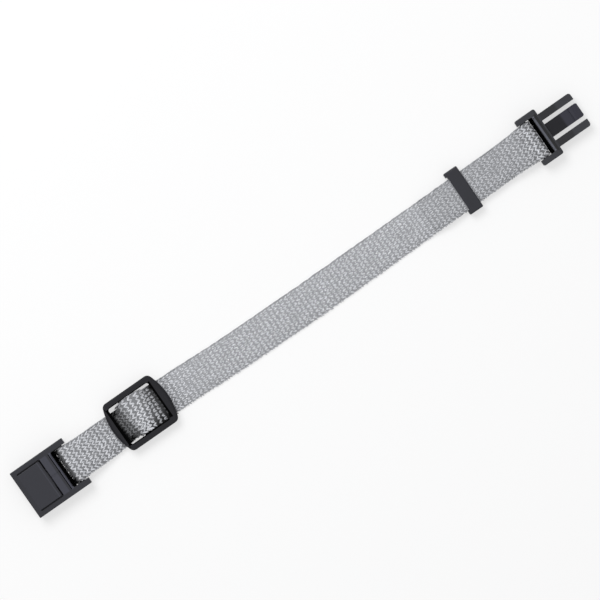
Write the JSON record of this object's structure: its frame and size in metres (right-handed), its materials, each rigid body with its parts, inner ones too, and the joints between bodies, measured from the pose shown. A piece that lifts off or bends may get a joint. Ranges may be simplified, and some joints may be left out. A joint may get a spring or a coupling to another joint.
{
  "type": "esd wrist strap",
  "caption": "Flat grey webbing wrist band with a three-bar adjuster, a keeper loop and a front-release plug and socket, lying open.",
  "frame": {"origin": "centre of the part's footprint, on the surface that it lies on", "axes": "+X along the strap from the socket to the plug, +Y across it, +Z out of the outer face"},
  "size_m": [0.2708, 0.0228, 0.0064],
  "materials": {
    "webbing": "woven polyester band with pale conductive yarn",
    "buckle_plastic": "fine moulded texture",
    "pad_plastic": "smooth moulded",
    "thread": "sewing thread"
  },
  "bodies": {
    "run_6": {"strap_run_6": "webbing"},
    "run_5": {"strap_run_5": "webbing"},
    "run_4": {"strap_run_4": "webbing"},
    "run_3": {"strap_run_3": "webbing"},
    "run_2": {"strap_run_2": "webbing"},
    "run_1": {"strap_run_1": "webbing"},
    "adjuster": {"slider_frame": "buckle_plastic", "strap_anchor": "webbing", "anchor_stitches": "thread", "strap_over_bar": "webbing"},
    "loop_near": {"strap_loop_near": "webbing"},
    "loop_far": {"strap_loop_far": "webbing"},
    "socket_turn": {"strap_socket_turn": "webbing"},
    "socket": {"socket_housing": "buckle_plastic"},
    "release_tab": {"release_tab": "pad_plastic"},
    "run_7": {"strap_run_7": "webbing"},
    "run_8": {"strap_run_8": "webbing"},
    "run_9": {"strap_run_9": "webbing"},
    "rise": {"strap_rise": "webbing"},
    "keeper_run": {"strap_keeper_run": "webbing"},
    "keeper": {"keeper_loop": "buckle_plastic"},
    "taper": {"strap_taper": "webbing"},
    "plug_turn": {"strap_plug_turn": "webbing"},
    "plug": {"plug_frame": "buckle_plastic"},
    "latch_tongue": {"latch_tongue": "buckle_plastic"}
  },
  "joints": [
    {"name": "bend_5", "type": "hinge", "parent": "run_6", "child": "run_5", "pos_m": [-0.00013, -0.00057, 0.0006], "axis": [0, -1, 0], "range_deg": [0, 17.76]},
    {"name": "bend_4", "type": "hinge", "parent": "run_5", "child": "run_4", "pos_m": [-0.01368, -0.00057, 0.0006], "axis": [0, -1, 0], "range_deg": [0, 17.76]},
    {"name": "bend_3", "type": "hinge", "parent": "run_4", "child": "run_3", "pos_m": [-0.02724, -0.00057, 0.0006], "axis": [0, -1, 0], "range_deg": [0, 17.76]},
    {"name": "bend_2", "type": "hinge", "parent": "run_3", "child": "run_2", "pos_m": [-0.04079, -0.00057, 0.0006], "axis": [0, -1, 0], "range_deg": [0, 17.76]},
    {"name": "bend_1", "type": "hinge", "parent": "run_2", "child": "run_1", "pos_m": [-0.05435, -0.00057, 0.0006], "axis": [0, -1, 0], "range_deg": [0, 34.78]},
    {"name": "adjuster_slide", "type": "slide", "parent": "run_1", "child": "adjuster", "axis": [1, 0, 0], "range_m": [0, 0.008]},
    {"name": "bend_adjuster", "type": "hinge", "parent": "adjuster", "child": "loop_near", "pos_m": [-0.09385, -0.00057, 0.0013], "axis": [0, -1, 0], "range_deg": [0, 35.06]},
    {"name": "loop_slide", "type": "slide", "parent": "loop_near", "child": "loop_far", "axis": [1, 0, 0], "range_m": [-0.004, 0]},
    {"name": "bend_socket", "type": "hinge", "parent": "loop_far", "child": "socket_turn", "pos_m": [-0.10905, -0.00057, 0.0028], "axis": [0, -1, 0], "range_deg": [0, 35.25]},
    {"name": "socket_pivot", "type": "hinge", "parent": "socket_turn", "child": "socket", "pos_m": [-0.11335, -0.00057, 0.0032], "axis": [0, 1, 0], "range_deg": [0, 60]},
    {"name": "release_tab_press", "type": "hinge", "parent": "socket", "child": "release_tab", "pos_m": [-0.1333, -0.00057, 0.0059], "axis": [0, 1, 0], "range_deg": [0, 4.7], "stiffness_Nm_per_rad": 0.4},
    {"name": "bend_6", "type": "hinge", "parent": "run_6", "child": "run_7", "pos_m": [0.01343, -0.00057, 0.0006], "axis": [0, 1, 0], "range_deg": [0, 17.76]},
    {"name": "bend_7", "type": "hinge", "parent": "run_7", "child": "run_8", "pos_m": [0.02698, -0.00057, 0.0006], "axis": [0, 1, 0], "range_deg": [0, 17.76]},
    {"name": "bend_8", "type": "hinge", "parent": "run_8", "child": "run_9", "pos_m": [0.04054, -0.00057, 0.0006], "axis": [0, 1, 0], "range_deg": [0, 17.76]},
    {"name": "bend_9", "type": "hinge", "parent": "run_9", "child": "rise", "pos_m": [0.05409, -0.00057, 0.0006], "axis": [0, 1, 0], "range_deg": [0, 17.76]},
    {"name": "bend_keeper", "type": "hinge", "parent": "rise", "child": "keeper_run", "pos_m": [0.06765, -0.00057, 0.0029], "axis": [0, 1, 0], "range_deg": [0, 27.25]},
    {"name": "keeper_slide", "type": "slide", "parent": "keeper_run", "child": "keeper", "axis": [1, 0, 0], "range_m": [-0.006, 0.012]},
    {"name": "bend_tail", "type": "hinge", "parent": "keeper_run", "child": "taper", "pos_m": [0.09565, -0.00057, 0.00225], "axis": [0, 1, 0], "range_deg": [0, 26.23]},
    {"name": "bend_plug", "type": "hinge", "parent": "taper", "child": "plug_turn", "pos_m": [0.10765, -0.00057, 0.00283], "axis": [0, 1, 0], "range_deg": [0, 33.95]},
    {"name": "plug_pivot", "type": "hinge", "parent": "plug_turn", "child": "plug", "pos_m": [0.11305, -0.00057, 0.0031], "axis": [0, -1, 0], "range_deg": [0, 60]},
    {"name": "latch_flex", "type": "hinge", "parent": "plug", "child": "latch_tongue", "pos_m": [0.12, -0.00057, 0.00305], "axis": [0, 1, 0], "range_deg": [0, 4.5], "stiffness_Nm_per_rad": 0.4}
  ],
  "couplings": [
    {"joint": "loop_slide", "follows": "adjuster_slide", "ratio": -0.5}
  ]
}
